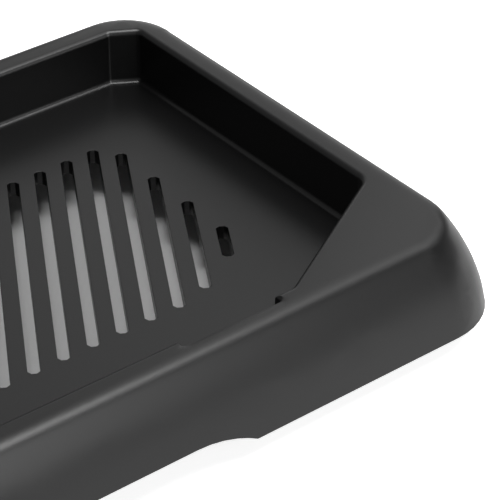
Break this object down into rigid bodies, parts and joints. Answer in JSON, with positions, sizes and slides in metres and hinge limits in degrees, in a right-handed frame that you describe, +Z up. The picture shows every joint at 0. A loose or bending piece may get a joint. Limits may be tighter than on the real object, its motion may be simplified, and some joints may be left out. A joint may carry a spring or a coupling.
{
  "type": "console vertical stand",
  "caption": "Black moulded tray that stands a flat game console on its narrow side, with slanted vents through the pocket floor, a flared skirt, a low front arch and rubber feet.",
  "frame": {"origin": "on the table, under the middle of the stand", "axes": "+X along the pocket towards the end with the long diagonal wall, +Y to the back, away from the side with the arch, +Z up"},
  "size_m": [0.2584, 0.0782, 0.015],
  "materials": {
    "tray_plastic": "fine moulded texture, low sheen",
    "foot_rubber": "matt"
  },
  "bodies": {
    "root": {"stand_body": "tray_plastic", "foot_front_left": "foot_rubber", "foot_front_right": "foot_rubber", "foot_rear_left": "foot_rubber", "foot_rear_right": "foot_rubber"}
  },
  "joints": []
}
